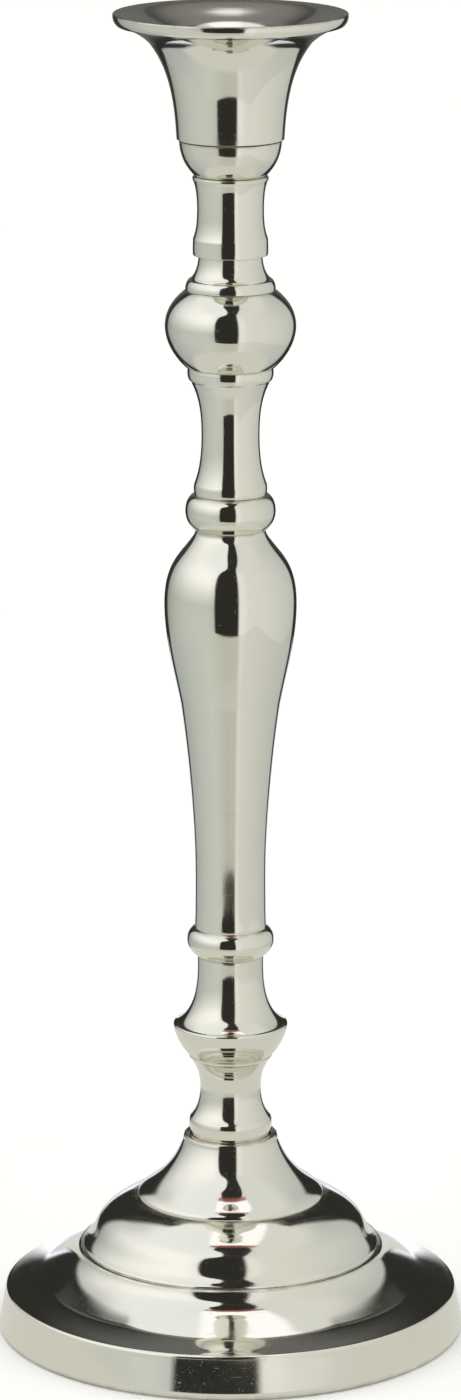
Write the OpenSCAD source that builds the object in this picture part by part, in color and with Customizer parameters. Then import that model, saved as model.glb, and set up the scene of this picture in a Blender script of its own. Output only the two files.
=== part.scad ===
// Altar candlestick: turned and plated sections stacked on a threaded tie rod,
// with a flared candle cup that screws on to the rod's upper end.
// Millimetres, +Z up, origin at the centre of the felt's underside.

/* [Foot] */
// Diameter of the foot where it meets the table
foot_d = 123.6; // [110:0.2:140]
// Height of the foot's side wall, up to its rounded edge
foot_edge_h = 10.1; // [8:0.1:12]
// Height of the flared foot, up to the ledge that carries the dome
foot_h = 22; // [20:0.5:25]
// Height of the dome
dome_h = 13.6; // [12:0.1:18]
// Radius of the dome's lower edge
dome_r = 39.2; // [38:0.1:39.4]
// Height of the trumpet above the dome
trumpet_h = 17.1; // [14:0.1:22]
// Radius of the trumpet's sharp lower lip
trumpet_r = 24.6; // [24:0.1:26]

/* [Stem] */
// Height of the lower neck that is seen above the trumpet
lower_neck_h = 22.2; // [21:0.1:30]
// Height of the reel, from its skirt to the bead above
reel_h = 26.9; // [26:0.1:34]
// Radius of the reel's sharp edge
reel_r = 15.1; // [14:0.1:17]
// Height of the lower bead
lower_bead_h = 7.5; // [6:0.1:10]
// Height of the long baluster
baluster_h = 106.9; // [90:0.1:130]
// Largest radius of the baluster
baluster_r = 17.2; // [16:0.1:19]
// Height of the upper bead
upper_bead_h = 9.2; // [8:0.1:12]
// Height of the upper neck with its ring
upper_neck_h = 33.5; // [32:0.1:42]
// Height of the ball knop
ball_h = 20.1; // [18:0.1:24]
// Largest radius of the ball knop
ball_r = 16.9; // [16:0.1:18]
// Height of the cap over the ball knop
knop_cap_h = 9; // [8:0.1:12]
// Height of the collar under the cup
collar_h = 20.4; // [20:0.1:26]

/* [Cup] */
// Height of the rounded bowl under the cup
bowl_h = 9.1; // [8.8:0.1:11]
// Height of the flared cup
cup_h = 32.1; // [31:0.1:36]
// Radius of the cup's rim
rim_r = 30; // [29:0.1:32]
// Diameter of the candle bore
candle_bore_d = 22.5; // [21:0.1:23]
// Depth of the straight part of the candle bore
candle_bore_depth = 15.8; // [15:0.1:16.6]

/* [Fastening] */
// Diameter of the tie rod's thread
rod_d = 7.9; // [7.5:0.1:7.9]
// Pitch of the tie rod's thread
pitch = 1.25; // [1:0.05:1.5]
// Diameter of the rod hole in each section
rod_hole_d = 8.6; // [8.4:0.1:9]
// Width of the hexagon nuts across flats
nut_af = 13; // [12:0.5:14]

/* [Underside] */
// Thickness of the felt
felt_t = 1.5; // [1:0.1:2]
// How far the felt stands proud of the metal
felt_proud = 0.5; // [0.3:0.1:0.8]
// Thickness of the board disc over the felt
board_t = 2; // [1.5:0.1:3]

/* [Hidden] */

$fn = 96;
nickel = [0.80, 0.79, 0.74];
steel = [0.55, 0.55, 0.56];
steps = 12;                       // straight pieces in each curve of an outline

rod_hole_r = rod_hole_d / 2;
rod_r = rod_d / 2;
thread_hole_r = rod_r + 0.08;     // running clearance of the tapped holes on the rod

// Each section has a spigot below and a counterbore above that takes the next one's spigot
spigot_r = 6.2;
spigot_h = 1.5;
seat_r = 6.3;
seat_h = 1.7;

// The lower neck stands in a recess in the trumpet's top
recess_r = 10.7;
recess_h = 1.5;

// Hollow foot
foot_r = foot_d / 2;
foot_flange_t = 2.5;              // flange under the dome
foot_flange_r = 31;               // its hole
board_r = foot_r - 4;
dome_top_hole_r = 18;
shell_t = 2;                      // wall of the dome and the trumpet

// Clamping stack under the flange
plate_t = 2;
plate_r = foot_flange_r + 5;
washer_t = 1.6;
spring_t = 2;
clamp_nut_t = 6.5;
rod_tail = 4;                     // rod left showing under the nut

// Cup and bowl
lock_nut_t = 4;
bowl_floor = 1.8;
washer_gap = 0.4;                 // thickness of the fibre washer under the cup
cup_floor = 2.6;                  // height of the candle bore's floor above the cup's edge
boss_r = 6.6;
boss_h = 3.4;                     // tapped boss under the cup's floor

// Levels, from the felt up
z_metal = felt_proud;
z_ledge = z_metal + foot_h;
z_lip = z_ledge + dome_h;
z_trumpet_top = z_lip + trumpet_h;
z_reel = z_trumpet_top + lower_neck_h;
z_lower_bead = z_reel + reel_h;
z_baluster = z_lower_bead + lower_bead_h;
z_upper_bead = z_baluster + baluster_h;
z_upper_neck = z_upper_bead + upper_bead_h;
z_ball = z_upper_neck + upper_neck_h;
z_cap = z_ball + ball_h;
z_collar = z_cap + knop_cap_h;
z_bowl = z_collar + collar_h;
z_cup = z_bowl + bowl_h + washer_gap;
z_plate = z_ledge - foot_flange_t - plate_t;
z_washer = z_plate - washer_t;
z_spring = z_washer - spring_t;
z_clamp_nut = z_spring - clamp_nut_t;
z_rod = z_clamp_nut - rod_tail;
z_rod_top = z_cup + cup_floor - 0.2;

// Points on a cubic curve from a to d with handles b and c, after a itself
function curve(a, b, c, d, n = steps) = [
    for (i = [1 : n])
        let (t = i / n, u = 1 - t)
            u * u * u * a + 3 * u * u * t * b + 3 * u * t * t * c + t * t * t * d
];

// Outline of a stem section: spigot below, counterbore above, rod hole or cavity inside
function section(h, outer, cavity = []) = concat(
    [[rod_hole_r, -spigot_h], [spigot_r, -spigot_h], [spigot_r, 0]],
    outer,
    [[seat_r, h], [seat_r, h - seat_h], [rod_hole_r, h - seat_h]],
    cavity
);

module turned(z, outline) {
    translate([0, 0, z])
        rotate_extrude()
            polygon(outline);
}

module disc(z, r, h, hole_r = 0) {
    translate([0, 0, z])
        difference() {
            cylinder(r = r, h = h);
            if (hole_r > 0)
                translate([0, 0, -1])
                    cylinder(r = hole_r, h = h + 2);
        }
}

// Hexagon nut with both faces chamfered to the inscribed circle
module hex_nut(z, h) {
    corner_r = nut_af / 2 / cos(30);
    chamfer = 0.6;
    translate([0, 0, z])
        difference() {
            intersection() {
                cylinder(r = corner_r, h = h, $fn = 6);
                rotate_extrude()
                    polygon([
                        [0, 0], [corner_r - 2 * chamfer, 0], [corner_r + 0.1, chamfer + 0.1],
                        [corner_r + 0.1, h - chamfer - 0.1], [corner_r - 2 * chamfer, h], [0, h]
                    ]);
            }
            translate([0, 0, -1])
                cylinder(r = rod_r + 0.05, h = h + 2);
        }
}

module felt_pad() {
    color("darkgreen")
        disc(0, board_r - 0.2, felt_t);
}

module closing_disc() {
    color("saddlebrown")
        disc(felt_t, board_r - 0.2, board_t);
}

// Cast foot: leaning side wall, rounded edge, shallow cone, and a cove up to the ledge
module foot_base() {
    edge_r = foot_r - 1.82;
    brim = [edge_r - 1.2, foot_edge_h + 1.05];
    crown = [foot_r - 9.8, foot_edge_h + 3.1];
    throat = [dome_r + 1.4, foot_h - 0.8];
    ring_r = board_r - 3.2;
    board_top = felt_t - felt_proud + board_t;
    color(nickel)
        turned(z_metal, concat(
            [[board_r, 0], [foot_r - 0.4, 0], [foot_r, 0.4], [edge_r, foot_edge_h]],
            curve([edge_r, foot_edge_h], [edge_r - 0.05, foot_edge_h + 0.7],
                  [brim.x + 0.7, brim.y - 0.1], brim, 6),
            curve(brim, [brim.x - 2.3, brim.y + 0.46], [crown.x + 2.3, crown.y - 0.88], crown, 6),
            curve(crown, [crown.x - 4.6, crown.y + 1.84], [throat.x + 1.3, throat.y - 4], throat, 16),
            curve(throat, [throat.x - 0.1, throat.y + 0.5], [throat.x - 0.4, foot_h],
                  [throat.x - 1, foot_h], 5),
            [[foot_flange_r, foot_h], [foot_flange_r, foot_h - foot_flange_t]],
            [[throat.x - 3, foot_h - foot_flange_t]],
            curve([throat.x - 3, foot_h - foot_flange_t], [throat.x - 1.6, foot_h - 9],
                  [throat.x + 3, foot_edge_h - 1], [throat.x + 9, foot_edge_h - 1.2], 8),
            [[ring_r, foot_edge_h - 1.6], [ring_r, board_top], [board_r, board_top]]
        ));
}

module backing_plate() {
    color(steel)
        disc(z_plate, plate_r, plate_t, rod_hole_r);
}

module plain_washer() {
    color(steel)
        disc(z_washer, 12, washer_t, rod_hole_r);
}

// Split spring washer, drawn flat as it is when clamped
module spring_washer() {
    color(steel)
        difference() {
            disc(z_spring, 7, spring_t, rod_hole_r);
            translate([0, -0.6, z_spring - 1])
                cube([8, 1.2, spring_t + 2]);
        }
}

module clamp_nut() {
    color(steel)
        hex_nut(z_clamp_nut, clamp_nut_t);
}

module lock_nut() {
    color(steel)
        hex_nut(z_bowl + bowl_floor, lock_nut_t);
}

// Rod with rings in place of the helical thread at its two ends
module tie_rod() {
    root_r = rod_r - 0.6;
    low_turns = floor((z_ledge - z_rod - 1) / pitch);
    top_turns = floor((z_rod_top - z_bowl - 1) / pitch);
    low_end = z_rod + 0.6 + low_turns * pitch;
    top_start = z_rod_top - 0.6 - top_turns * pitch;
    color(steel)
        rotate_extrude()
            polygon(concat(
                [[0, z_rod], [root_r, z_rod]],
                [
                    for (i = [0 : low_turns - 1])
                        for (step = [[rod_r, 0.45], [rod_r, 0.65], [root_r, 1.1]])
                            [step.x, z_rod + 0.2 + i * pitch + step.y]
                ],
                [[rod_r, low_end + 0.6], [rod_r, top_start - 0.6]],
                [
                    for (i = [0 : top_turns - 1])
                        for (step = [[root_r, 0.1], [rod_r, 0.55], [rod_r, 0.75], [root_r, 1.2]])
                            [step.x, top_start - 0.2 + i * pitch + step.y]
                ],
                [[root_r, z_rod_top], [0, z_rod_top]]
            ));
}

// Spun dome: a lip on its lower edge, a flange below that centres it in the foot,
// and a flat top with a hole for the trumpet's spigot
module foot_dome() {
    h = dome_h;
    color(nickel)
        turned(z_ledge, concat(
            [[foot_flange_r - 0.1, -1.2], [foot_flange_r - 0.1, 0], [dome_r, 0], [dome_r, 0.3]],
            curve([dome_r, 0.3], [dome_r - 0.1, 0.7], [dome_r - 0.5, 0.9], [dome_r - 0.8, 1.2], 3),
            curve([dome_r - 0.8, 1.2], [dome_r - 4.55, 4.9], [dome_r - 1.8, h - 5],
                  [trumpet_r + 0.5, h], 20),
            [[dome_top_hole_r, h], [dome_top_hole_r, h - shell_t]],
            [[trumpet_r - 1.4, h - shell_t]],
            curve([trumpet_r - 1.4, h - shell_t], [dome_r - 8.7, h - 4.2], [dome_r - 6, h - 6.4],
                  [dome_r - 5.6, 2.2], 10),
            [[foot_flange_r - 2, 2.2], [foot_flange_r - 2, -1.2]]
        ));
}

// Trumpet-shaped riser whose foot rolls down to a small edge on the dome
module foot_trumpet() {
    h = trumpet_h;
    top_r = recess_r + 1.5;
    web = h - recess_h - 3;
    roll = [trumpet_r - 2, 2.65];
    color(nickel)
        turned(z_lip, concat(
            [[dome_top_hole_r - 0.1, -spigot_h], [dome_top_hole_r - 0.1, 0]],
            [[trumpet_r - 0.1, 0], [trumpet_r, 0.15], [trumpet_r, 0.4]],
            curve([trumpet_r, 0.4], [trumpet_r, 1], [roll.x + 1.3, roll.y - 0.9], roll, 6),
            curve(roll, [roll.x - 1.6, roll.y + 1.12], [top_r + 2, 7.95], [top_r, h - 0.2], 18),
            [[top_r - 0.2, h], [recess_r, h], [recess_r, h - recess_h]],
            [[rod_hole_r, h - recess_h], [rod_hole_r, web], [top_r - 3, web]],
            curve([top_r - 3, web], [top_r - 0.8, 7.4], [dome_top_hole_r - 4, 3.4],
                  [dome_top_hole_r - 2, 0.6], 10),
            [[dome_top_hole_r - 2, -spigot_h]]
        ));
}

// Neck above the foot: a plain socket, a waist, and a small ring under the reel's skirt
module lower_neck() {
    h = lower_neck_h;
    waist = [8, 13];
    color(nickel)
        turned(z_trumpet_top, concat(
            [[rod_hole_r, -recess_h], [recess_r - 0.15, -recess_h], [recess_r - 0.1, 0]],
            [[recess_r + 0.1, 1.2], [recess_r + 0.1, 4.2], [recess_r, 4.5]],
            curve([recess_r, 4.5], [9.5, 5.9], [waist.x + 0.1, 7.9], waist),
            curve(waist, [waist.x, 16.5], [9.2, h - 3.3], [10.5, h - 1.35]),
            [[10.9, h - 1], [11, h - 0.7], [11, h]],
            [[seat_r, h], [seat_r, h - seat_h], [rod_hole_r, h - seat_h]]
        ));
}

// Reel: a swelling skirt up to a sharp edge, then a long hollow curve to the bead
module reel() {
    edge = [reel_r, 8];
    waist = [8.7, 22.4];
    color(nickel)
        turned(z_reel, section(reel_h, concat(
            [[11.3, 0]],
            curve([11.3, 0], [12.9, 1.8], [reel_r - 0.4, 4.6], edge, 10),
            [[edge.x - 0.15, edge.y + 0.25]],
            curve([edge.x - 0.15, edge.y + 0.25], [11.6, 9.8], [8.9, 13.8], waist, 16),
            [[waist.x, reel_h]]
        )));
}

// Round bead between two straight members
module bead(z, h, low_r, max_r, top_r, middle) {
    color(nickel)
        turned(z, section(h, concat(
            [[low_r, 0]],
            curve([low_r, 0], [(low_r + max_r) / 2 + 0.25, h * 0.13],
                  [max_r, middle - h * 0.21], [max_r, middle]),
            curve([max_r, middle], [max_r, middle + h * 0.22],
                  [max_r - 0.6, h * 0.91], [top_r, h])
        )));
}

module lower_bead() {
    bead(z_lower_bead, lower_bead_h, 8.9, 11.45, 9.6, lower_bead_h * 0.54);
}

module upper_bead() {
    bead(z_upper_bead, upper_bead_h, 9.3, 11.7, 9.7, upper_bead_h * 0.52);
}

// Long baluster, cored out to an even wall
module baluster() {
    h = baluster_h;
    waist = [9.24, h * 0.14];
    flank = [13.04, h * 0.568];
    belly = [baluster_r, h * 0.816];
    top_r = 9.2;
    wall = 2.6;
    color(nickel)
        turned(z_baluster, section(h, concat(
            [[9.45, 0]],
            curve([9.45, 0], [9.3, 2], [9.23, 6], waist, 6),
            curve(waist, [9.25, h * 0.25], [10.75, h * 0.43], flank, 16),
            curve(flank, [flank.x + 1.8, flank.y + 9], [belly.x, belly.y - 9], belly),
            curve(belly, [belly.x, belly.y + 7.6], [15, h - 8.7], [12.6, h - 5.7], 14),
            curve([12.6, h - 5.7], [11.2, h - 3.95], [top_r + 0.3, h - 2], [top_r, h - 0.9], 6),
            [[top_r, h]]
        ), concat(
            [[rod_hole_r, h - 5], [top_r - wall, h - 5]],
            curve([top_r - wall, h - 5], [12.6, h - 9.5], [belly.x - wall, belly.y + 7],
                  [belly.x - wall, belly.y]),
            curve([belly.x - wall, belly.y], [belly.x - wall, belly.y - 9],
                  [flank.x - wall + 1.8, flank.y + 9], [flank.x - wall, flank.y], 8),
            curve([flank.x - wall, flank.y], [10.75 - wall, h * 0.43], [9.25 - wall, h * 0.25],
                  [waist.x - wall, waist.y], 10),
            [[waist.x - wall, 5], [rod_hole_r, 5]]
        )));
}

// Upper neck: a collar at the foot, a long waist, and a bevelled ring under the ball
module upper_neck() {
    h = upper_neck_h;
    waist = [7.5, 15.5];
    color(nickel)
        turned(z_upper_neck, section(h, concat(
            [[9.3, 0], [9.45, 2.4], [9.4, 2.7]],
            curve([9.4, 2.7], [8.7, 4.6], [7.5, 8], waist),
            curve(waist, [7.5, 22], [8.2, h - 8.2], [9.9, h - 4.4]),
            [[10.3, h - 3.6], [10.75, h - 3.3], [11, h - 2.5], [11, h - 0.3], [10.8, h]]
        )));
}

// Ball knop, cored out
module ball_knop() {
    h = ball_h;
    belly = [ball_r, h * 0.532];
    wall = 3;
    color(nickel)
        turned(z_ball, section(h, concat(
            [[11.5, 0]],
            curve([11.5, 0], [13.9, 2.1], [belly.x, belly.y - 4.5], belly, 14),
            curve(belly, [belly.x, belly.y + 3.7], [ball_r - 1.9, h - 2.7], [11.5, h], 14)
        ), concat(
            [[rod_hole_r, h - 4], [9, h - 4]],
            curve([9, h - 4], [12, h - 5], [belly.x - wall, belly.y + 3],
                  [belly.x - wall, belly.y], 8),
            curve([belly.x - wall, belly.y], [belly.x - wall, belly.y - 3.4], [11.6, 4.6],
                  [9, 3.6], 8),
            [[rod_hole_r, 3.6]]
        )));
}

// Cap: a bevelled ring on the ball and a hollow cone up to the collar
module knop_cap() {
    h = knop_cap_h;
    color(nickel)
        turned(z_cap, section(h, concat(
            [[11.6, 0], [11.1, 2.2], [10.85, 2.55]],
            curve([10.85, 2.55], [9.4, 3.3], [8.3, 5.6], [8.2, h])
        )));
}

// Collar: a straight band, a waist, and a small rounded lip under the bowl
module neck_collar() {
    h = collar_h;
    waist = [8.58, 11];
    color(nickel)
        turned(z_collar, section(h, concat(
            [[9.65, 0], [9.65, 3.6], [9.6, 4.3]],
            curve([9.6, 4.3], [9.1, 5.6], [8.62, 7.2], waist),
            curve(waist, [8.55, 14.6], [8.8, h - 3.2], [9.5, h - 1.4]),
            curve([9.5, h - 1.4], [9.9, h - 0.7], [9.85, h - 0.2], [9.4, h], 4)
        )));
}

// Bowl: carries the lock nut inside and the cup's register in its mouth
module cup_bowl() {
    h = bowl_h;
    mouth_r = 13.2;
    wall = 1.5;
    color(nickel)
        turned(z_bowl, concat(
            [[rod_hole_r, -spigot_h], [spigot_r, -spigot_h], [spigot_r, 0], [9.1, 0]],
            curve([9.1, 0], [11.3, 2.2], [12.9, 4.6], [mouth_r, h]),
            [[mouth_r - wall, h]],
            curve([mouth_r - wall, h], [12.8 - wall, 5.4], [11.4 - wall, 3.4], [8.8, bowl_floor], 8),
            [[rod_hole_r, bowl_floor]]
        ));
}

module cup_washer() {
    color("saddlebrown")
        disc(z_bowl + bowl_h, 12.9, washer_gap, 11.8);
}

// Flared cup: tapped boss and register below, candle bore and funnel inside
module candle_cup() {
    h = cup_h;
    bore_r = candle_bore_d / 2;
    bore_top = cup_floor + candle_bore_depth;
    seam_r = 13.8;
    shoulder = [seam_r + 7.2, h - 7.2];
    dish = [bore_r + 8.2, h - 3.9];
    color(nickel)
        turned(z_cup, concat(
            [[thread_hole_r, -boss_h], [boss_r, -boss_h], [boss_r, 0.4], [10, 0.4]],
            [[10, -1.2], [11.5, -1.2], [11.5, 0], [seam_r, 0]],
            curve([seam_r, 0], [seam_r + 0.5, 10], [seam_r + 2, h - 13.6], shoulder, 14),
            curve(shoulder, [shoulder.x + 1.5, h - 5.7], [rim_r - 4.2, h - 3.4],
                  [rim_r - 1, h - 3], 10),
            [[rim_r - 0.7, h - 2.7], [rim_r, h - 0.2], [rim_r - 0.2, h], [rim_r - 0.5, h], dish],
            curve(dish, [bore_r + 4, h - 5.6], [bore_r + 1.4, h - 8.4],
                  [bore_r + 0.8, bore_top + 0.6]),
            [[bore_r, bore_top], [bore_r, cup_floor], [thread_hole_r, cup_floor]]
        ));
}

felt_pad();
closing_disc();
foot_base();
backing_plate();
plain_washer();
spring_washer();
clamp_nut();
tie_rod();
foot_dome();
foot_trumpet();
lower_neck();
reel();
lower_bead();
baluster();
upper_bead();
upper_neck();
ball_knop();
knop_cap();
neck_collar();
cup_bowl();
lock_nut();
cup_washer();
candle_cup();
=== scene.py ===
"""Looks of the altar candlestick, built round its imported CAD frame.

Metres, +Z up, with the origin at the centre of the felt's underside.
"""

import math

import bmesh
import bpy
import numpy as np
from mathutils.noise import noise as noise_at
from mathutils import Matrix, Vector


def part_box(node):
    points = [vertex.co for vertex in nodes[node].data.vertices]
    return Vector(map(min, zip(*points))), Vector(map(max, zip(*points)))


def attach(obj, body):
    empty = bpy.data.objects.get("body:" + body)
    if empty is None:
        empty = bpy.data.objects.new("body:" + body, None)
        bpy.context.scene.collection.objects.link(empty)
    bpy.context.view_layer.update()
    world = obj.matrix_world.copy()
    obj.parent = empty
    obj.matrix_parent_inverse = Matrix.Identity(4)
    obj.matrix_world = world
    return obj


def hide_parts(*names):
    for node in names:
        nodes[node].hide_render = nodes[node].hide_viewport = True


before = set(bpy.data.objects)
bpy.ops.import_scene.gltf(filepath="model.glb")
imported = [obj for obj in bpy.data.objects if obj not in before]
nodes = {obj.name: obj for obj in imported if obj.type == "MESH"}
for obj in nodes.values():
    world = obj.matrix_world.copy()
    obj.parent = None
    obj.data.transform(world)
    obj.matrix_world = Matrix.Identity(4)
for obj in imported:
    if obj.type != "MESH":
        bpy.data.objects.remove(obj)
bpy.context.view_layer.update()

MM = 0.001

STEM_PIECES = [
    "foot_base", "foot_dome", "foot_trumpet", "lower_neck", "reel", "lower_bead", "baluster",
    "upper_bead", "upper_neck", "ball_knop", "knop_cap", "neck_collar", "cup_bowl",
]
CUP_PIECE = "candle_cup"

SEGMENTS = 160                     # facets round a turned piece
ROD_SEGMENTS = 48                  # facets round the rod
WELD = 1e-7                        # points closer than this are one
ON_PLANE = 2e-7                    # a point closer to the cutting plane lies on it
STRAIGHT_TURN = math.radians(0.05)  # a smaller turn in an outline is none
CORNER_TURN = math.radians(33)     # a sharper turn in an outline is an edge
EDGE_EASE = 0.22 * MM              # how far back an edge is rounded
LIP_EASE = 0.08 * MM               # the same on the cup, whose lip is crisper
EASE_SHARE = 0.3                   # most of a stretch that one rounded edge takes
LONGEST_STEP = 1.6 * MM            # along an outline
LARGEST_TURN = math.radians(3.5)   # between two steps of an outline


# ---------------------------------------------------------------- outlines

def cut_loop(node):
    """The closed outline of a CAD node's section at +X, as an array of (radius, height)."""
    bm = bmesh.new()
    bm.from_mesh(nodes[node].data)
    bmesh.ops.remove_doubles(bm, verts=bm.verts, dist=WELD)
    cut = bmesh.ops.bisect_plane(
        bm, geom=bm.verts[:] + bm.edges[:] + bm.faces[:], dist=ON_PLANE,
        plane_co=(0, 0, 0), plane_no=(0, 1, 0),
    )["geom_cut"]
    links = {}
    for e in cut:
        if isinstance(e, bmesh.types.BMEdge) and min(v.co.x for v in e.verts) > 0:
            a, b = e.verts
            links.setdefault(a, []).append(b)
            links.setdefault(b, []).append(a)
    start = min(links, key=lambda v: (v.co.z, v.co.x))
    loop, last, here = [start], None, start
    while True:
        ahead = [v for v in links[here] if v is not last]
        last, here = here, ahead[0]
        if here is start:
            break
        loop.append(here)
    points = np.array([(v.co.x, v.co.z) for v in loop])
    bm.free()
    r, z = points.T
    area = np.sum(r * np.roll(z, -1) - np.roll(r, -1) * z)
    return points if area > 0 else points[::-1]


def turns(points):
    """The signed turning angle at each point of a closed outline."""
    step = points - np.roll(points, 1, axis=0)
    ahead = np.roll(step, -1, axis=0)
    cross = step[:, 0] * ahead[:, 1] - step[:, 1] * ahead[:, 0]
    return np.arctan2(cross, (step * ahead).sum(1))


def without_straight(points):
    """The outline without the points that lie on a straight stretch."""
    while True:
        keep = np.abs(turns(points)) > STRAIGHT_TURN
        if keep.all():
            return points
        points = points[keep]


def smooth_span(points):
    """A fine polyline through a span's points, tangent at each to the circle through its neighbours."""
    if len(points) == 2:
        count = max(2, math.ceil(np.linalg.norm(points[1] - points[0]) / LONGEST_STEP) + 1)
        return points[0] + (points[1] - points[0]) * np.linspace(0, 1, count)[:, None]
    step = np.diff(points, axis=0)
    length = np.linalg.norm(step, axis=1)
    heading = np.unwrap(np.arctan2(step[:, 1], step[:, 0]))
    turn = np.diff(heading)
    share = length[:-1] / (length[:-1] + length[1:])
    tangent = np.concatenate([[0], heading[:-1] + turn * share, [0]])
    tangent[0] = heading[0] - (tangent[1] - heading[0])
    tangent[-1] = heading[-1] + (heading[-1] - tangent[-2])
    fine = [points[:1]]
    for i in range(len(step)):
        bend = abs(tangent[i + 1] - tangent[i])
        count = max(math.ceil(length[i] / LONGEST_STEP), math.ceil(bend / LARGEST_TURN), 1)
        t = np.linspace(0, 1, count + 1)[1:, None]
        a, b = points[i], points[i + 1]
        da = length[i] * np.array([math.cos(tangent[i]), math.sin(tangent[i])])
        db = length[i] * np.array([math.cos(tangent[i + 1]), math.sin(tangent[i + 1])])
        fine.append(
            (2 * t**3 - 3 * t**2 + 1) * a + (t**3 - 2 * t**2 + t) * da
            + (3 * t**2 - 2 * t**3) * b + (t**3 - t**2) * db
        )
    return np.concatenate(fine)


def trimmed(line, start, end):
    """A polyline without its first and last stretch of those lengths."""
    along = np.concatenate([[0], np.cumsum(np.linalg.norm(np.diff(line, axis=0), axis=1))])
    inside = (along > start + 1e-9) & (along < along[-1] - end - 1e-9)
    at = np.concatenate([[start], along[inside], [along[-1] - end]])
    return np.stack([np.interp(at, along, line[:, k]) for k in range(2)], axis=1)


def eased_outline(points, ease=EDGE_EASE):
    """The outline with smooth stretches between its edges, and each edge slightly rounded."""
    points = without_straight(points)
    corners = np.flatnonzero(np.abs(turns(points)) > CORNER_TURN)
    spans = []
    for k, first in enumerate(corners):
        last = corners[(k + 1) % len(corners)]
        count = (last - first) % len(points)
        spans.append(smooth_span(points[(first + np.arange(count + 1)) % len(points)]))
    size = [np.linalg.norm(np.diff(s, axis=0), axis=1).sum() for s in spans]
    back = [min(ease, EASE_SHARE * size[k - 1], EASE_SHARE * size[k]) for k in range(len(spans))]
    cut = [trimmed(span, back[k], back[(k + 1) % len(spans)]) for k, span in enumerate(spans)]
    whole = []
    for k, span in enumerate(spans):
        for t in (0.25, 0.5, 0.75):
            u = 1 - t
            whole.append((u * u * cut[k - 1][-1] + 2 * u * t * span[0] + t * t * cut[k][0])[None])
        whole.append(cut[k])
    return np.concatenate(whole)


# ---------------------------------------------------------------- meshes

def new_piece(name, verts, faces, smooth=True):
    mesh = bpy.data.meshes.new(name)
    mesh.from_pydata([tuple(v) for v in verts], [], faces)
    mesh.validate()
    if smooth:
        mesh.polygons.foreach_set("use_smooth", [True] * len(mesh.polygons))
    obj = bpy.data.objects.new(name, mesh)
    bpy.context.scene.collection.objects.link(obj)
    return obj


def angles(count):
    """Angles of that many points round Z."""
    return np.arange(count) * 2 * math.pi / count


def lathe(name, outline):
    """A closed outline turned round Z."""
    turn = angles(SEGMENTS)
    ring = np.stack([np.cos(turn), np.sin(turn)], axis=1)
    n = len(outline)
    verts = np.concatenate([
        (outline[:, :1, None] * ring[None]).reshape(-1, 2),
        np.repeat(outline[:, 1:], SEGMENTS, axis=0),
    ], axis=1)
    i = np.arange(n)[:, None]
    j = np.arange(SEGMENTS)[None]
    i2, j2 = (i + 1) % n, (j + 1) % SEGMENTS
    faces = np.stack([
        i * SEGMENTS + j, i * SEGMENTS + j2, i2 * SEGMENTS + j2, i2 * SEGMENTS + j,
    ], axis=-1).reshape(-1, 4)
    return new_piece(name, verts, faces.tolist())


def lathe_solid(name, outline):
    """An open outline that starts and ends on the Z axis, turned round it."""
    verts = [(r * math.cos(t), r * math.sin(t), z) for r, z in outline[1:-1] for t in angles(SEGMENTS)]
    first, last = len(verts), len(verts) + 1
    verts += [(0, 0, outline[0][1]), (0, 0, outline[-1][1])]
    faces = []
    for j in range(SEGMENTS):
        j2 = (j + 1) % SEGMENTS
        for i in range(0, first - SEGMENTS, SEGMENTS):
            faces.append((i + j, i + j2, i + SEGMENTS + j2, i + SEGMENTS + j))
        faces += [(first, j2, j), (first - SEGMENTS + j, first - SEGMENTS + j2, last)]
    return new_piece(name, verts, faces)


COVE_START = 46 * MM               # radii between which the foot's upper face is lowered
COVE_CREASE = 51.4 * MM            # radius of the break, where it's lowered most
COVE_END = 59.3 * MM
COVE_DEEP = 0.32 * MM              # the most that it's lowered
COVE_TOP = 10.8 * MM               # the upper face lies above this height


def firm_cove(outline):
    """The foot's outline with a firmer break between its cove and its brim."""
    radius, height = outline.T
    inner = np.clip((radius - COVE_START) / (COVE_CREASE - COVE_START), 0, 1) ** 1.6
    outer = np.clip((COVE_END - radius) / (COVE_END - COVE_CREASE), 0, 1) ** 1.5
    on_top = height > COVE_TOP
    return np.stack([radius, height - COVE_DEEP * inner * outer * on_top], axis=1)


def turned_piece(node, body):
    """A nickel section turned again from its CAD section, in place of the CAD mesh."""
    outline = eased_outline(cut_loop(node), LIP_EASE if node == CUP_PIECE else EDGE_EASE)
    if node == "foot_base":
        outline = firm_cove(outline)
    piece = lathe(node + "_turned", outline)
    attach(piece, body)
    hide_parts(node)
    return piece


polished = {node: turned_piece(node, "stem") for node in STEM_PIECES}
polished[CUP_PIECE] = turned_piece(CUP_PIECE, "cup")


# ---------------------------------------------------------------- rod and felt

PITCH = 1.25 * MM
THREAD_DEPTH = 0.6 * MM
THREAD_ROW = PITCH / 10            # height of a row of faces along the thread
SHANK_ROWS = 40                    # rows along the plain shank
BOWL_FLOOR = 2 * MM                # thickness of the bowl's floor, where the upper thread starts


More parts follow.
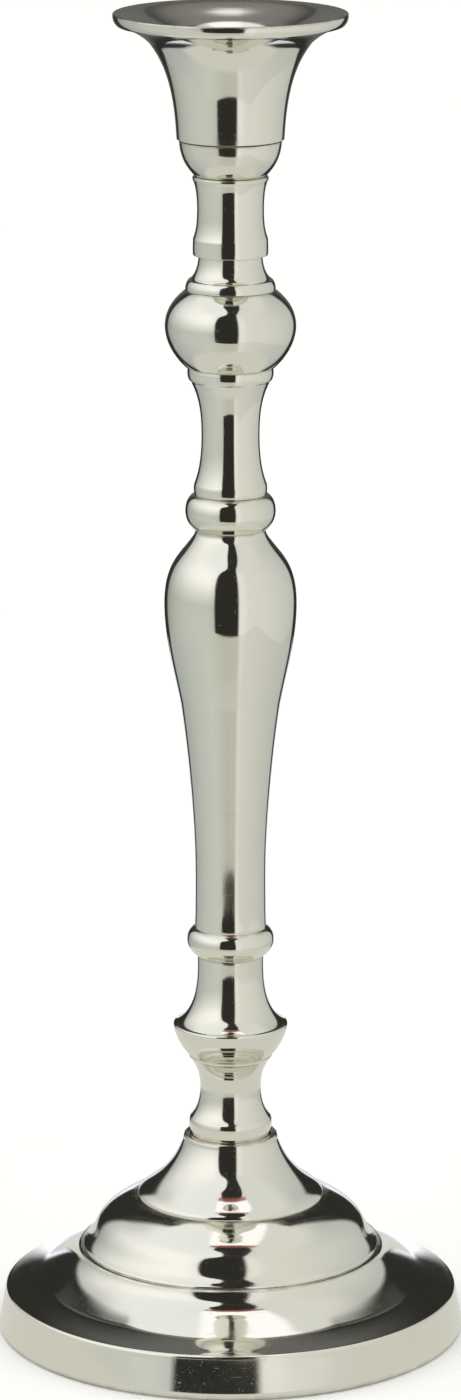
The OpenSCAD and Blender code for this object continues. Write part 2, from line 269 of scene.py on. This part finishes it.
def threaded_rod():
    """The tie rod, threaded up to the dome's foot and again from the bowl's floor to its top."""
    bottom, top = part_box("tie_rod")
    low_end, high_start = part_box("foot_dome")[0].z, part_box("cup_bowl")[0].z + BOWL_FLOOR
    rows = np.concatenate([
        np.arange(bottom.z, low_end + PITCH, THREAD_ROW),
        np.linspace(low_end + 2 * PITCH, high_start - 2 * PITCH, SHANK_ROWS),
        np.arange(high_start - PITCH, top.z, THREAD_ROW),
        [top.z],
    ])
    segments = ROD_SEGMENTS
    z, t = np.meshgrid(rows, angles(segments), indexing="ij")
    phase = np.mod(z / PITCH - t / (2 * math.pi), 1)
    groove = np.clip(1.25 * (1 - np.abs(2 * phase - 1)) - 0.12, 0, 1)
    shank = np.clip(np.minimum(z - low_end, high_start - z) / PITCH, 0, 1)
    chamfer = np.clip(1 - np.minimum(z - bottom.z, top.z - z) / (0.6 * PITCH), 0, 1)
    depth = THREAD_DEPTH * np.maximum(groove * (1 - shank), chamfer)
    radius = top.x - depth
    verts = np.stack([radius * np.cos(t), radius * np.sin(t), z], axis=-1).reshape(-1, 3)
    i = np.arange(len(rows) - 1)[:, None] * segments
    j = np.arange(segments)[None]
    j2 = (j + 1) % segments
    faces = np.stack([i + j, i + j2, i + segments + j2, i + segments + j], axis=-1)
    faces = faces.reshape(-1, 4).tolist()
    last_ring = (len(rows) - 1) * segments
    faces += [list(range(segments))[::-1], list(range(last_ring, last_ring + segments))]
    piece = new_piece("tie_rod_threaded", verts, faces)
    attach(piece, "stem")
    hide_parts("tie_rod")
    return piece


FELT_EDGE_R = 0.8 * MM             # how far in the soft lower edge reaches
FELT_EDGE_H = 0.6 * MM             # and how far up
FELT_BACK_IN = 0.2 * MM            # how far in the upper edge lies
FELT_TRIM_BAND = 2 * MM            # the outer band whose outline is wavy
FELT_TRIM = 0.004                  # by at most this share of the radius
FELT_UNEVEN = 0.16 * MM            # the most that the lower face lies above the table


def felt_disc():
    """The felt, cut by hand: a soft lower edge, an uneven face and a slightly wavy outline."""
    _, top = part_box("felt_pad")
    radius, thick = top.x, top.z
    face = [(r, 0.0) for r in np.linspace(0, radius - FELT_EDGE_R, 48)]
    edge = [
        (radius - FELT_EDGE_R * (1 - math.sin(t)), FELT_EDGE_H * (1 - math.cos(t)))
        for t in np.linspace(0.2, 1.57, 5)
    ]
    back = [(r, thick) for r in np.linspace(radius - FELT_BACK_IN, 0, 12)]
    piece = lathe_solid("felt_disc", face + edge + back)
    for v in piece.data.vertices:
        x, y, z = v.co
        out = math.hypot(x, y)
        if out > radius - FELT_TRIM_BAND:
            trim = 1 - FELT_TRIM * (1 + noise_at((90 * x / out, 90 * y / out, 3))) * 0.5
            v.co.x, v.co.y = x * trim, y * trim
        if z < 0.5 * thick:
            v.co.z = z + FELT_UNEVEN * max(0.0, noise_at((240 * x, 240 * y, 7)))
    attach(piece, "stem")
    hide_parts("felt_pad")
    return piece


rod = threaded_rod()
felt = felt_disc()


# ---------------------------------------------------------------- shader graphs

def feed(tree, socket, value):
    """Links a socket to a value's socket, or sets a plain number or an opaque colour on it."""
    if isinstance(value, bpy.types.NodeSocket):
        tree.links.new(value, socket)
    elif isinstance(value, tuple):
        socket.default_value = (*value, 1)
    elif value is not None:
        socket.default_value = value


def calc(tree, operation, *values):
    node = tree.nodes.new("ShaderNodeMath")
    node.operation = operation
    for socket, value in zip(node.inputs, values):
        feed(tree, socket, value)
    return node.outputs[0]


def plus(tree, a, b):
    return calc(tree, "ADD", a, b)


def minus(tree, a, b):
    return calc(tree, "SUBTRACT", a, b)


def times(tree, a, b):
    return calc(tree, "MULTIPLY", a, b)


def scaled(tree, value, low, high, to_low=0.0, to_high=1.0, kind="LINEAR"):
    """A number that goes from to_low at low to to_high at high, and stays level outside them."""
    node = tree.nodes.new("ShaderNodeMapRange")
    node.interpolation_type = kind
    for name, v in (("Value", value), ("From Min", low), ("From Max", high),
                    ("To Min", to_low), ("To Max", to_high)):
        feed(tree, node.inputs[name], v)
    return node.outputs["Result"]


def smooth(tree, value, low, high):
    """A soft step from 0 at low to 1 at high."""
    return scaled(tree, value, low, high, kind="SMOOTHSTEP")


def blend(tree, factor, a, b, mode="MIX"):
    node = tree.nodes.new("ShaderNodeMix")
    node.data_type = "RGBA"
    node.blend_type = mode
    feed(tree, node.inputs[0], factor)
    feed(tree, node.inputs[6], a)
    feed(tree, node.inputs[7], b)
    return node.outputs[2]


def ramp(tree, value, stops):
    """A colour along value, from (position, linear colour) stops in rising order."""
    low, high = stops[0][0], stops[-1][0]
    node = tree.nodes.new("ShaderNodeValToRGB")
    node.color_ramp.interpolation = "LINEAR"
    elements = node.color_ramp.elements
    while len(elements) < len(stops):
        elements.new(0.5)
    for element, (position, colour) in zip(elements, stops):
        element.position = (position - low) / (high - low)
        element.color = (*colour, 1)
    feed(tree, node.inputs[0], scaled(tree, value, low, high))
    return node.outputs[0]


def number_curve(tree, value, stops):
    """A number along value, on a smooth curve through (position, number) stops."""
    low, high = stops[0][0], stops[-1][0]
    least, most = min(n for _, n in stops), max(n for _, n in stops)
    node = tree.nodes.new("ShaderNodeFloatCurve")
    points = node.mapping.curves[0].points
    while len(points) < len(stops):
        points.new(0.5, 0.5)
    for point, (position, number) in zip(points, stops):
        point.location = ((position - low) / (high - low), (number - least) / (most - least))
        point.handle_type = "AUTO_CLAMPED"
    node.mapping.update()
    feed(tree, node.inputs["Value"], scaled(tree, value, low, high))
    return scaled(tree, node.outputs[0], 0.0, 1.0, least, most)


def noise(tree, vector, scale, detail=2.0, roughness=0.5, distortion=0.0):
    node = tree.nodes.new("ShaderNodeTexNoise")
    feed(tree, node.inputs["Vector"], vector)
    for name, v in (("Scale", scale), ("Detail", detail), ("Roughness", roughness),
                    ("Distortion", distortion)):
        node.inputs[name].default_value = v
    return node.outputs[0]


def stretched(tree, vector, scale, turn=(0, 0, 0)):
    node = tree.nodes.new("ShaderNodeMapping")
    feed(tree, node.inputs["Vector"], vector)
    node.inputs["Rotation"].default_value = turn
    node.inputs["Scale"].default_value = scale
    return node.outputs[0]


def joined(tree, x, y, z):
    node = tree.nodes.new("ShaderNodeCombineXYZ")
    for socket, value in zip(node.inputs, (x, y, z)):
        feed(tree, socket, value)
    return node.outputs[0]


def parted(tree, vector):
    node = tree.nodes.new("ShaderNodeSeparateXYZ")
    feed(tree, node.inputs[0], vector)
    return node.outputs[0], node.outputs[1], node.outputs[2]


def out_from_axis(tree, x, y):
    """Distance from the Z axis."""
    return calc(tree, "POWER", plus(tree, times(tree, x, x), times(tree, y, y)), 0.5)


def side_of(tree, x, y):
    """Degrees round Z, 0 at the front and rising to the right."""
    return times(tree, calc(tree, "ARCTAN2", x, times(tree, y, -1.0)), 180 / math.pi)


def bump(tree, height, depth, strength=1.0, normal=None):
    node = tree.nodes.new("ShaderNodeBump")
    node.inputs["Strength"].default_value = strength
    node.inputs["Distance"].default_value = depth
    feed(tree, node.inputs["Height"], height)
    feed(tree, node.inputs["Normal"], normal)
    return node.outputs[0]


def new_material(name):
    material = bpy.data.materials.new(name)
    material.use_nodes = True
    tree = material.node_tree
    shader = next(n for n in tree.nodes if n.type == "BSDF_PRINCIPLED")
    place = tree.nodes.new("ShaderNodeTexCoord").outputs["Object"]
    return material, tree, shader, place


# ---------------------------------------------------------------- metals

NICKEL = (0.80, 0.795, 0.705)
NICKEL_WARM = (0.80, 0.76, 0.60)
# the warm dark brown that each nickel piece is darkened towards near its ends
SEAM_BROWN = (0.34, 0.29, 0.2)
PIT = (0.2, 0.19, 0.16)
NICKEL_ROUGHNESS = 0.05            # the others below are added to it
SMUDGE_ROUGHNESS = 0.08
SCRATCH_ROUGHNESS = 0.12
SEAM_ROUGHNESS = 0.3
FLARE_ROUGHNESS = 0.07             # inside the cup's flare
SWELL_DEPTH = 0.05 * MM            # of the plate's faint waviness
RING_DEPTH = 0.0012 * MM           # of the turning rings under the plate
MARK_DEPTH = 0.003 * MM            # of a scratch
FLARE_FADE = 0.3 * MM              # over which the duller inside of the flare begins


def nickel(name, low, high, flare=None):
    """Mirror-polished nickel plate on a piece between two heights, duller and warmer in its seams.

    flare lists (height, radius) stops, inside which the plate is a little duller, as in a cup's mouth.
    """
    material, tree, shader, place = new_material(name)
    x, y, z = parted(tree, place)
    radius = out_from_axis(tree, x, y)
    rings = noise(tree, joined(tree, 0.0, radius, z), 2600, 3)
    swell = noise(tree, stretched(tree, place, (1, 1, 0.45)), 55, 1)
    smudge = noise(tree, place, 38, 4, 0.6)
    scratch_a = noise(tree, stretched(tree, place, (5200, 5200, 90), (0.3, 0.2, 0.1)), 1, 1)
    scratch_b = noise(tree, stretched(tree, place, (70, 4300, 4300), (0.1, 0.5, 0.4)), 1, 1)
    scratches = calc(
        tree, "MAXIMUM", smooth(tree, scratch_a, 0.70, 0.78), smooth(tree, scratch_b, 0.71, 0.79),
    )
    pits = tree.nodes.new("ShaderNodeTexVoronoi")
    feed(tree, pits.inputs["Vector"], place)
    pits.inputs["Scale"].default_value = 55
    rare = smooth(tree, parted(tree, pits.outputs["Color"])[0], 0.93, 0.95)
    pit = times(tree, smooth(tree, pits.outputs["Distance"], 0.02, 0.012), rare)
    # Near both ends of each piece, where it meets the next, the colour is darkened in patches towards a
    # warm brown and the plate is made duller.
    low_seam = smooth(tree, z, low + 1.1 * MM, low + 0.1 * MM)
    high_seam = smooth(tree, z, high - 0.8 * MM, high - 0.05 * MM)
    seam = calc(tree, "MAXIMUM", low_seam, high_seam)
    seam_darkening = times(tree, seam, scaled(tree, noise(tree, place, 240, 3), 0.3, 0.7, 0.1, 0.8))
    tint = blend(tree, times(tree, smooth(tree, smudge, 0.52, 0.75), 0.25), NICKEL, NICKEL_WARM)
    tint = blend(tree, times(tree, seam_darkening, 0.75), tint, SEAM_BROWN)
    tint = blend(tree, times(tree, pit, 0.8), tint, PIT)
    feed(tree, shader.inputs["Base Color"], tint)
    shader.inputs["Metallic"].default_value = 1
    rough = plus(tree, NICKEL_ROUGHNESS, times(tree, smooth(tree, smudge, 0.4, 0.8), SMUDGE_ROUGHNESS))
    rough = plus(tree, rough, times(tree, scratches, SCRATCH_ROUGHNESS))
    rough = plus(tree, rough, times(tree, plus(tree, seam_darkening, pit), SEAM_ROUGHNESS))
    if flare:
        inside = smooth(tree, minus(tree, number_curve(tree, z, flare), radius), 0, FLARE_FADE)
        rough = plus(tree, rough, times(tree, inside, FLARE_ROUGHNESS))
    feed(tree, shader.inputs["Roughness"], rough)
    wavy = bump(tree, swell, SWELL_DEPTH)
    turned = bump(tree, rings, RING_DEPTH, normal=wavy)
    marks = plus(tree, scratches, times(tree, pit, 12))
    feed(tree, shader.inputs["Normal"], bump(tree, marks, -MARK_DEPTH, normal=turned))
    return material


def steel(name, colour, roughness, grain):
    """Machined or plated steel with fine turning marks."""
    material, tree, shader, place = new_material(name)
    x, y, z = parted(tree, place)
    radius = out_from_axis(tree, x, y)
    rings = noise(tree, joined(tree, 0.0, radius, z), grain, 3)
    blotch = noise(tree, place, 160, 4, 0.6)
    dark = tuple(0.6 * c for c in colour)
    feed(tree, shader.inputs["Base Color"], blend(tree, smooth(tree, blotch, 0.45, 0.8), colour, dark))
    shader.inputs["Metallic"].default_value = 1
    rough = scaled(tree, blotch, 0.2, 0.8, roughness - 0.08, roughness + 0.12)
    feed(tree, shader.inputs["Roughness"], rough)
    feed(tree, shader.inputs["Normal"], bump(tree, rings, 0.01 * MM))
    return material


def paint(obj, material):
    obj.data.materials.clear()
    obj.data.materials.append(material)


FELT_DARK = (0.016, 0.055, 0.030)
FELT_LIGHT = (0.045, 0.125, 0.072)
FELT_WORN = (0.07, 0.15, 0.09)
LINT = (0.2, 0.27, 0.2)


def felt_wool():
    """Dense dark green felt with a short, tangled nap."""
    material, tree, shader, place = new_material("green_felt")
    tangle = noise(tree, place, 900, 6, 0.7, 1.5)
    worn = noise(tree, place, 60, 4, 0.6)
    lint = smooth(tree, noise(tree, stretched(tree, place, (1, 1, 0.3)), 1500, 2, 0.5, 4), 0.66, 0.74)
    colour = blend(tree, smooth(tree, tangle, 0.3, 0.7), FELT_DARK, FELT_LIGHT)
    colour = blend(tree, times(tree, smooth(tree, worn, 0.5, 0.8), 0.35), colour, FELT_WORN)
    colour = blend(tree, times(tree, lint, 0.4), colour, LINT)
    feed(tree, shader.inputs["Base Color"], colour)
    feed(tree, shader.inputs["Roughness"], scaled(tree, worn, 0.2, 0.8, 0.86, 0.98))
    shader.inputs["Sheen Weight"].default_value = 0.45
    shader.inputs["Sheen Roughness"].default_value = 0.5
    feed(tree, shader.inputs["Normal"], bump(tree, tangle, 0.35 * MM, 0.8))
    return material


def pressed_fibre(name, light, dark, grain):
    """Pressed board or vulcanised fibre, with short fibres in its face."""
    material, tree, shader, place = new_material(name)
    along = noise(tree, stretched(tree, place, (1, 6, 1)), grain, 4, 0.6, 0.6)
    across = noise(tree, stretched(tree, place, (6, 1, 1)), grain, 4, 0.6, 0.6)
    fibres = calc(tree, "MAXIMUM", along, across)
    stain = noise(tree, place, 90, 3)
    colour = blend(tree, smooth(tree, fibres, 0.42, 0.72), dark, light)
    colour = blend(tree, times(tree, smooth(tree, stain, 0.5, 0.8), 0.4), colour, dark)
    feed(tree, shader.inputs["Base Color"], colour)
    feed(tree, shader.inputs["Roughness"], scaled(tree, stain, 0.2, 0.8, 0.6, 0.85))
    feed(tree, shader.inputs["Normal"], bump(tree, fibres, 0.08 * MM, 0.6))
    return material


# Stops within the wall of the cup's flare: (millimetres from the rim's top, radius)
MOUTH = [(-13.5, 14), (-7.2, 18), (-2.8, 26.5), (-1, 28.7), (0, 29.5)]

for node, piece in polished.items():
    bottom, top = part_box(node)
    flare = [(top.z + z * MM, r * MM) for z, r in MOUTH] if node == CUP_PIECE else None
    paint(piece, nickel("nickel_" + node, bottom.z, top.z, flare))

zinc = steel("zinc_plated_steel", colour=(0.62, 0.61, 0.56), roughness=0.34, grain=3200)
for node in ("backing_plate", "plain_washer", "spring_washer", "clamp_nut", "lock_nut"):
    paint(nodes[node], zinc)
paint(rod, zinc)
paint(felt, felt_wool())
board = pressed_fibre("fibre_board", light=(0.36, 0.25, 0.15), dark=(0.22, 0.14, 0.08), grain=260)
fibre = pressed_fibre("fibre_washer", light=(0.26, 0.13, 0.09), dark=(0.15, 0.07, 0.05), grain=700)
paint(nodes["closing_disc"], board)
paint(nodes["cup_washer"], fibre)


# ---------------------------------------------------------------- studio

TABLE_BACK = 0.46                  # how far the lit table top reaches behind and to the sides
TABLE_FLAT = 0.35                  # how far its flat part reaches in front
TABLE_ROLL = 0.5                   # radius of the roll that its front edge falls away in
CARD_BACK = 0.27                   # a narrow dark card behind the candlestick
CARD_HALF = 0.19
CARD_LOW, CARD_HIGH = 0.11, 0.48
CEILING_FRONT = -0.05              # edges of the white ceiling, per unit of height above the foot
CEILING_BACK = 0.56
LEFT_END = (-147, -140)            # degrees round Z where the left panel fades in
RIGHT_END = (147.5, 141.5)         # and the right one
LAMP_POWER = 1.9                   # of the overhead soft light, for the floor only
LAMP_SPREAD = math.radians(100)
FLOOR_HALF = 14


def shade(r, g, b):
    """Radiance that shows as this 8-bit colour once the nickel has reflected it."""
    linear = [((c / 255 + 0.055) / 1.055) ** 2.4 for c in (r, g, b)]
    return tuple(c / k for c, k in zip(linear, NICKEL))


DARK_ROOM = shade(44, 42, 37)
BACKDROP_LOW = shade(206, 212, 211)     # the backdrop's foot, and the table top before it


def studio_world():
    """The studio as the nickel mirrors it. The camera itself sees a plain pale wall.

    There are two tall soft panels with a dark gap between them in front, a white backdrop behind,
    and a slanted white ceiling whose front edge is reddish.
    """
    world = bpy.data.worlds.new("studio")
    bpy.context.scene.world = world
    world.use_nodes = True
    tree = world.node_tree
    ground = next(n for n in tree.nodes if n.type == "BACKGROUND")
    x, y, z = parted(tree, tree.nodes.new("ShaderNodeTexCoord").outputs["Generated"])
    side = side_of(tree, x, y)
    rise = times(tree, calc(tree, "ARCSINE", z), 180 / math.pi)
    away = calc(tree, "ABSOLUTE", side)
    up = calc(tree, "MAXIMUM", z, 0.05)
    across = calc(tree, "DIVIDE", x, up)
    behind = calc(tree, "DIVIDE", y, up)
    overhead = smooth(tree, behind, CEILING_BACK + 0.03, CEILING_BACK - 0.03)

    left_light = ramp(tree, rise, [
        (-90, shade(194, 194, 179)), (-14, shade(191, 194, 180)), (-5, shade(188, 192, 178)),
        (4, shade(208, 210, 198)), (17, shade(233, 232, 220)), (28, shade(247, 245, 234)),
        (42, shade(248, 245, 235)), (55, shade(233, 234, 223)), (90, shade(226, 227, 216)),
    ])
    left_fall = ramp(tree, side, [
        (-146, (0.52,) * 3), (-135, (0.62, 0.64, 0.65)), (-120, (0.79, 0.80, 0.81)),
        (-90, (0.95, 0.95, 0.95)), (-62, (1.0,) * 3), (-44, (1.0,) * 3), (-36, (0.96,) * 3),
        (-28, (0.86,) * 3), (-10, (0.80,) * 3),
    ])
    steep = smooth(tree, rise, 40, 58)
    left_light = blend(tree, 1.0, left_light, blend(tree, steep, left_fall, (1, 1, 1)), "MULTIPLY")
    right_light = ramp(tree, side, [
        (12, shade(221, 220, 207)), (22, shade(225, 224, 211)), (31, shade(214, 213, 200)),
        (60, shade(210, 209, 195)), (90, shade(203, 203, 189)), (120, shade(192, 194, 182)),
        (144, shade(180, 182, 172)),
    ])
    right_light = blend(tree, steep, right_light, shade(212, 211, 199))
    left_edge = number_curve(tree, rise, [
        (-90, -28), (8, -28), (25, -29), (40, -28), (47, -24), (53, -14), (58, -9.5),
        (72, -32), (90, -60),
    ])
    right_edge = number_curve(tree, rise, [
        (-90, 14), (50, 14.5), (58, 20), (66, 31), (76, 46), (90, 60),
    ])
    left = smooth(tree, minus(tree, side, left_edge), 2.2, -2.2)
    left = times(tree, left, calc(tree, "MAXIMUM", smooth(tree, side, *LEFT_END), overhead))
    right = smooth(tree, minus(tree, side, right_edge), -2.4, 2.4)
    right = times(tree, right, calc(tree, "MAXIMUM", smooth(tree, side, *RIGHT_END), overhead))
    backdrop_half = number_curve(tree, rise, [(-90, 20), (-12, 19), (0, 12.5), (14, 6.5), (90, 6)])
    backdrop = smooth(tree, plus(tree, away, backdrop_half), 177.5, 182.5)
    backdrop = times(tree, backdrop, smooth(tree, rise, 19, 13))
    slant = scaled(tree, behind, CEILING_FRONT, CEILING_BACK, -0.18, -0.08)
    ceiling_left = smooth(tree, minus(tree, across, slant), -0.02, 0.02)
    ceiling = times(tree, ceiling_left, smooth(tree, across, 0.25, 0.21))
    ceiling = times(tree, ceiling, overhead)
    front = smooth(tree, behind, CEILING_FRONT - 0.05, CEILING_FRONT)
    haze = times(tree, smooth(tree, rise, 22, 47), smooth(tree, away, 146, 156))

    light = blend(tree, haze, DARK_ROOM, shade(118, 116, 108))
    light = blend(tree, left, light, left_light)
    light = blend(tree, right, light, right_light)
    backdrop_light = blend(tree, smooth(tree, rise, -6, 3), BACKDROP_LOW, shade(255, 254, 250))
    light = blend(tree, backdrop, light, backdrop_light)
    light = blend(tree, times(tree, ceiling, front), light, shade(255, 253, 246))
    fringe = times(tree, smooth(tree, behind, -0.19, -0.13), minus(tree, 1.0, front))
    fringe = times(tree, fringe, times(tree, ceiling, 0.85))
    light = blend(tree, fringe, light, shade(150, 84, 70))
    seen = tree.nodes.new("ShaderNodeLightPath").outputs["Is Camera Ray"]
    feed(tree, ground.inputs["Color"], blend(tree, seen, light, (0.97, 0.97, 0.955)))


def pale_floor():
    """A wide pale floor, faintly uneven in tone, and a soft light that the nickel doesn't show."""
    material, tree, shader, place = new_material("pale_floor")
    tone = smooth(tree, noise(tree, place, 30, 5, 0.6), 0.2, 0.8)
    feed(tree, shader.inputs["Base Color"], blend(tree, tone, (0.80, 0.80, 0.78), (0.82, 0.82, 0.80)))
    shader.inputs["Roughness"].default_value = 0.85
    corners = [(-FLOOR_HALF, -FLOOR_HALF), (FLOOR_HALF, -FLOOR_HALF),
               (FLOOR_HALF, FLOOR_HALF), (-FLOOR_HALF, FLOOR_HALF)]
    floor = new_piece("floor", [(x, y, 0) for x, y in corners], [(0, 1, 2, 3)], smooth=False)
    paint(floor, material)
    floor.visible_glossy = False
    lamp = bpy.data.objects.new("lamp", bpy.data.lights.new("lamp", "SUN"))
    lamp.data.angle = LAMP_SPREAD
    lamp.data.energy = LAMP_POWER
    lamp.data.color = (1.0, 0.995, 0.98)
    lamp.visible_glossy = False
    lamp.visible_camera = False
    bpy.context.scene.collection.objects.link(lamp)


def mirrored_only(piece):
    """Part of the studio that only shows in the nickel."""
    piece.visible_camera = False
    piece.visible_diffuse = False
    piece.visible_shadow = False


def glowing(name):
    """A material that only gives light, with its tree, its colour's socket and place."""
    material, tree, shader, place = new_material(name)
    shader.inputs["Base Color"].default_value = (0, 0, 0, 1)
    shader.inputs["Specular IOR Level"].default_value = 0
    shader.inputs["Roughness"].default_value = 1
    shader.inputs["Emission Strength"].default_value = 1
    return material, tree, shader.inputs["Emission Color"], place


def lit_table():
    """The lit table top as the nickel mirrors it, flat round the foot and rolled off in front."""
    roll = [math.radians(d) for d in range(0, 61, 3)]
    profile = [(TABLE_BACK, 0.0)]
    profile += [(-TABLE_FLAT - TABLE_ROLL * math.sin(t), TABLE_ROLL * (math.cos(t) - 1)) for t in roll]
    verts = [(x, y, z) for y, z in profile for x in (-TABLE_BACK, TABLE_BACK)]
    faces = [(2 * i, 2 * i + 1, 2 * i + 3, 2 * i + 2) for i in range(len(profile) - 1)]
    table = new_piece("table", verts, faces)
    material, tree, colour, place = glowing("lit_table")
    x, y, _ = parted(tree, place)
    gap, white = shade(50, 48, 42), BACKDROP_LOW
    around = ramp(tree, side_of(tree, x, y), [
        (-180, white), (-162, white), (-156, gap), (-147, gap), (-140, shade(160, 165, 158)),
        (-120, shade(170, 173, 163)), (-90, shade(183, 186, 174)), (-45, shade(194, 196, 182)),
        (-28, shade(190, 191, 176)), (-10, shade(184, 183, 165)), (12, shade(187, 186, 169)),
        (19, shade(214, 213, 200)), (28, shade(206, 205, 192)), (60, shade(200, 199, 185)),
        (90, shade(192, 193, 179)), (120, shade(184, 186, 175)), (141, shade(176, 178, 168)),
        (147, gap), (156, gap), (162, white), (180, white),
    ])
    near = smooth(tree, out_from_axis(tree, x, y), 0.2, 0.27)
    feed(tree, colour, blend(tree, near, shade(200, 199, 184), around))
    paint(table, material)
    mirrored_only(table)


def dark_card():
    """The card that keeps the light behind the candlestick off the foot, paler high up in its middle."""
    corners = [(-CARD_HALF, CARD_LOW), (CARD_HALF, CARD_LOW),
               (CARD_HALF, CARD_HIGH), (-CARD_HALF, CARD_HIGH)]
    card = new_piece("card", [(x, CARD_BACK, z) for x, z in corners], [(0, 1, 2, 3)], smooth=False)
    material, tree, colour, place = glowing("dark_card")
    x, _, z = parted(tree, place)
    middle = smooth(tree, calc(tree, "ABSOLUTE", x), 0.17, 0.05)
    grey = times(tree, smooth(tree, z, 0.16, 0.28), middle)
    feed(tree, colour, blend(tree, grey, DARK_ROOM, shade(100, 98, 92)))
    paint(card, material)
    mirrored_only(card)


studio_world()
pale_floor()
lit_table()
dark_card()

bpy.context.scene.view_settings.view_transform = "Standard"


# ---------------------------------------------------------------- camera

CAMERA_BACK = 1.50995              # in front of the axis
CAMERA_UP = 0.5368                 # above the table
CAMERA_DOWN = math.radians(13.617)  # tilt below the horizon
LENS_PX = 5954.8                   # focal length in pixels of the 1400 high image
IMAGE_H = 1400
SENSOR = 36.0

camera = bpy.data.objects.new("camera", bpy.data.cameras.new("camera"))
bpy.context.scene.collection.objects.link(camera)
camera.location = (0, -CAMERA_BACK, CAMERA_UP)
camera.rotation_euler = (math.pi / 2 - CAMERA_DOWN, 0, 0)
camera.data.sensor_fit = "AUTO"
camera.data.sensor_width = SENSOR
camera.data.lens = LENS_PX / IMAGE_H * SENSOR
camera.data.clip_start = 0.05
camera.data.clip_end = 50
bpy.context.scene.camera = camera
